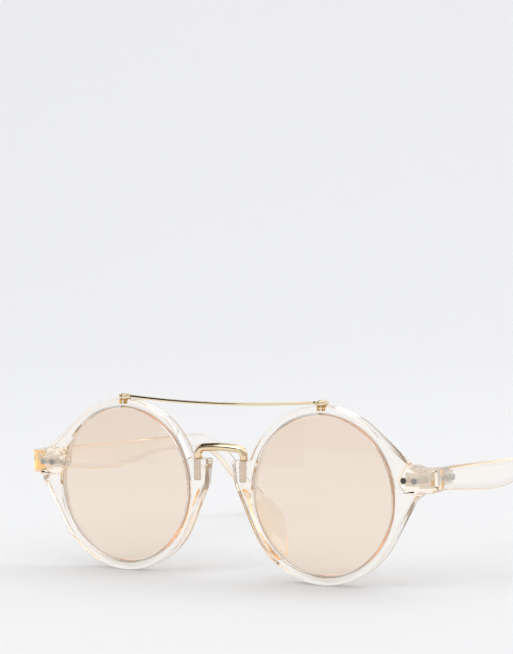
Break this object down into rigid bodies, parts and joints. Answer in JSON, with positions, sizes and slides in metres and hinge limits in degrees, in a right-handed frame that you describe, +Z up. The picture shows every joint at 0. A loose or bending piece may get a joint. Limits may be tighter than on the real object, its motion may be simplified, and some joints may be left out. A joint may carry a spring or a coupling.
{
  "type": "sunglasses",
  "caption": "Round sunglasses with clear plastic rims, a gilt saddle bridge and brow bar, pale tinted lenses and folding clear temples.",
  "frame": {"origin": "the middle of the frame on the surface it stands on, under the centre of its box", "axes": "+Z up, the lenses face -Y, the temples run back along +Y, +X is the wearer's left"},
  "size_m": [0.145, 0.1376, 0.0553],
  "materials": {
    "clear_plastic": "polished clear, warm tinge",
    "tinted_lens": "polished, peach-beige tint",
    "gilt_metal": "polished gilt",
    "hinge_metal": "satin nickel",
    "pin_metal": "dark satin"
  },
  "bodies": {
    "front": {"left_rim": "clear_plastic", "right_rim": "clear_plastic", "left_nose_pad": "clear_plastic", "right_nose_pad": "clear_plastic", "left_lens": "tinted_lens", "right_lens": "tinted_lens", "bridge": "gilt_metal", "bridge_pins": "gilt_metal", "brow_bar": "gilt_metal", "left_brow_bush": "gilt_metal", "right_brow_bush": "gilt_metal", "brow_screws": "gilt_metal", "left_front_hinge": "hinge_metal", "right_front_hinge": "hinge_metal", "front_hinge_pins": "pin_metal", "left_hinge_screw": "hinge_metal", "right_hinge_screw": "hinge_metal"},
    "left_arm": {"left_temple": "clear_plastic", "left_temple_hinge": "hinge_metal", "left_temple_pins": "pin_metal"},
    "right_arm": {"right_temple": "clear_plastic", "right_temple_hinge": "hinge_metal", "right_temple_pins": "pin_metal"}
  },
  "joints": [
    {"name": "left_fold", "type": "hinge", "parent": "front", "child": "left_arm", "pos_m": [0.0671, -0.05944, 0.0326], "axis": [0, 0, 1], "range_deg": [0, 90]},
    {"name": "right_fold", "type": "hinge", "parent": "front", "child": "right_arm", "pos_m": [-0.0671, -0.05944, 0.0326], "axis": [0, 0, -1], "range_deg": [0, 80]}
  ]
}
